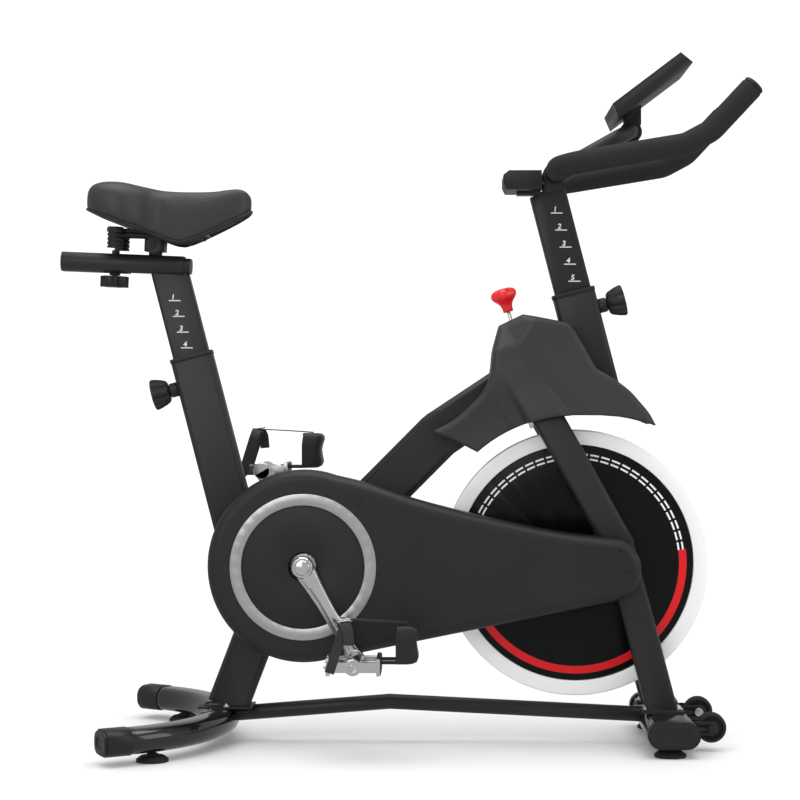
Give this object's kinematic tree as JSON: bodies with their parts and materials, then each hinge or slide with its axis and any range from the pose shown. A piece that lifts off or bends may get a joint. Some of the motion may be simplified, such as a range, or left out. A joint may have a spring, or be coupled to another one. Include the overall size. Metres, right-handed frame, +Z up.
{
  "type": "exercise bike",
  "caption": "Upright indoor exercise bike with a belt drive under a side cover, front flywheel with a push brake, height-adjustable saddle and handlebar, and toe-cage pedals.",
  "frame": {"origin": "middle of the footprint on the floor", "axes": "+X forward from saddle to handlebar, +Y to the rider's left, +Z up"},
  "size_m": [1.1317, 0.5208, 1.1214],
  "materials": {
    "frame_paint": "satin black powder coat",
    "stabiliser_paint": "gloss black",
    "post_paint": "satin black with printed height marks",
    "cover_plastic": "fine satin moulded plastic",
    "shroud_plastic": "fine satin moulded plastic",
    "black_plastic": "moulded",
    "brushed_ring": "brushed",
    "machined_steel": "turned",
    "bright_steel": "bright plated",
    "zinc": "zinc plated",
    "rim_metal": "polished rim",
    "face_plastic": "gloss black with printed rings",
    "red_plastic": "gloss red",
    "rubber": "matte",
    "belt_rubber": "matte ribbed",
    "foam": "closed-cell foam",
    "webbing": "woven strap",
    "saddle_leather": "smooth synthetic leather"
  },
  "bodies": {
    "frame": {"rear_stabiliser": "stabiliser_paint", "front_stabiliser": "stabiliser_paint", "stabiliser_caps": "black_plastic", "bottom_tube": "frame_paint", "seat_tube": "frame_paint", "rear_leg": "frame_paint", "main_tube": "frame_paint", "head_tube": "frame_paint", "fork_right": "frame_paint", "fork_left": "frame_paint", "bearings": "machined_steel", "belt_cover_inner": "cover_plastic", "belt_cover_outer": "cover_plastic", "cover_ring": "brushed_ring", "cover_disc": "cover_plastic", "shroud_right": "shroud_plastic", "shroud_left": "shroud_plastic", "post_collars": "black_plastic", "knob_bosses": "black_plastic", "brake_sleeve": "machined_steel", "drive_belt": "belt_rubber", "wheel_brackets": "frame_paint", "frame_bolts": "zinc"},
    "flywheel": {"flywheel": "rim_metal", "flywheel_faces": "face_plastic", "flywheel_axle": "machined_steel"},
    "crank": {"crank_axle": "machined_steel", "crank_pulley": "machined_steel", "crank_right": "bright_steel", "crank_left": "bright_steel"},
    "pedal_right": {"pedal_right": "bright_steel", "toe_cage_right": "black_plastic", "toe_strap_right": "webbing"},
    "pedal_left": {"pedal_left": "bright_steel", "toe_cage_left": "black_plastic", "toe_strap_left": "webbing"},
    "seat_post": {"seat_post": "post_paint", "slider_rail": "frame_paint"},
    "slider": {"slider_sleeve": "frame_paint", "saddle_clamp": "frame_paint"},
    "slider_knob": {"slider_knob": "black_plastic"},
    "saddle": {"saddle_base": "frame_paint", "saddle_cushion": "saddle_leather"},
    "seat_knob": {"seat_knob": "black_plastic"},
    "handlebar": {"handlebar_post": "post_paint", "handlebar": "frame_paint", "aero_loop": "frame_paint", "grips": "foam", "console_body": "black_plastic"},
    "handlebar_knob": {"handlebar_knob": "black_plastic"},
    "console_button": {"console_button": "red_plastic"},
    "tablet_tray": {"tablet_tray": "black_plastic"},
    "brake_rod": {"brake_rod": "bright_steel"},
    "resistance_knob": {"resistance_knob": "red_plastic"},
    "wheel_right": {"wheel_right": "rubber"},
    "wheel_left": {"wheel_left": "rubber"},
    "foot_front_right": {"foot_front_right": "rubber"},
    "foot_front_left": {"foot_front_left": "rubber"},
    "foot_rear_right": {"foot_rear_right": "rubber"},
    "foot_rear_left": {"foot_rear_left": "rubber"}
  },
  "joints": [
    {"name": "flywheel_spin", "type": "hinge", "parent": "frame", "child": "flywheel", "pos_m": [0.282, 0, 0.296], "axis": [0, 1, 0], "continuous": true},
    {"name": "crank_spin", "type": "hinge", "parent": "frame", "child": "crank", "pos_m": [-0.16, 0, 0.296], "axis": [0, 1, 0], "continuous": true},
    {"name": "pedal_right_spin", "type": "hinge", "parent": "crank", "child": "pedal_right", "pos_m": [-0.07473, -0.181, 0.15125], "axis": [0, 1, 0], "continuous": true},
    {"name": "pedal_left_spin", "type": "hinge", "parent": "crank", "child": "pedal_left", "pos_m": [-0.24527, 0.181, 0.44075], "axis": [0, 1, 0], "continuous": true},
    {"name": "seat_height", "type": "slide", "parent": "frame", "child": "seat_post", "axis": [-0.2504, 0, 0.9681], "range_m": [-0.1, 0.09]},
    {"name": "seat_fore_aft", "type": "slide", "parent": "seat_post", "child": "slider", "axis": [0.9991, 0, -0.0419], "range_m": [-0.04, 0.026]},
    {"name": "saddle_tilt", "type": "hinge", "parent": "slider", "child": "saddle", "pos_m": [-0.41075, 0, 0.81729], "axis": [0, 1, 0], "range_deg": [-8, 8]},
    {"name": "slider_knob_turn", "type": "hinge", "parent": "slider", "child": "slider_knob", "pos_m": [-0.47924, 0, 0.75911], "axis": [0.0419, 0, 0.9991], "range_deg": [-360, 90]},
    {"name": "seat_pin_pull", "type": "slide", "parent": "frame", "child": "seat_knob", "axis": [-0.9681, 0, -0.2504], "range_m": [0, 0.008], "stiffness_N_per_m": 900},
    {"name": "handlebar_height", "type": "slide", "parent": "frame", "child": "handlebar", "axis": [-0.2504, 0, 0.9681], "range_m": [-0.09, 0.06]},
    {"name": "handlebar_pin_pull", "type": "slide", "parent": "frame", "child": "handlebar_knob", "axis": [0.9681, 0, 0.2504], "range_m": [0, 0.008], "stiffness_N_per_m": 900},
    {"name": "console_button_press", "type": "slide", "parent": "handlebar", "child": "console_button", "axis": [0, 0, -1], "range_m": [0, 0.0012], "stiffness_N_per_m": 600},
    {"name": "tablet_tilt", "type": "hinge", "parent": "handlebar", "child": "tablet_tray", "pos_m": [0.372, 0, 1.002], "axis": [0, 1, 0], "range_deg": [-15, 20]},
    {"name": "brake_push", "type": "slide", "parent": "frame", "child": "brake_rod", "axis": [0.2807, 0, -0.9598], "range_m": [0, 0.012], "stiffness_N_per_m": 900},
    {"name": "resistance_turn", "type": "hinge", "parent": "brake_rod", "child": "resistance_knob", "pos_m": [0.167, 0, 0.728], "axis": [0.2807, 0, -0.9598], "range_deg": [0, 1080]},
    {"name": "wheel_right_spin", "type": "hinge", "parent": "frame", "child": "wheel_right", "pos_m": [0.495, -0.083, 0.038], "axis": [0, 1, 0], "continuous": true},
    {"name": "wheel_left_spin", "type": "hinge", "parent": "frame", "child": "wheel_left", "pos_m": [0.495, 0.083, 0.038], "axis": [0, 1, 0], "continuous": true},
    {"name": "foot_front_right_turn", "type": "hinge", "parent": "frame", "child": "foot_front_right", "pos_m": [0.424, -0.135, 0], "axis": [0, 0, 1], "continuous": true},
    {"name": "foot_front_left_turn", "type": "hinge", "parent": "frame", "child": "foot_front_left", "pos_m": [0.424, 0.135, 0], "axis": [0, 0, 1], "continuous": true},
    {"name": "foot_rear_right_turn", "type": "hinge", "parent": "frame", "child": "foot_rear_right", "pos_m": [-0.3893, -0.19151, 0], "axis": [0, 0, 1], "continuous": true},
    {"name": "foot_rear_left_turn", "type": "hinge", "parent": "frame", "child": "foot_rear_left", "pos_m": [-0.3893, 0.19151, 0], "axis": [0, 0, 1], "continuous": true}
  ],
  "couplings": [
    {"joint": "crank_spin", "follows": "flywheel_spin", "ratio": 0.24762}
  ]
}
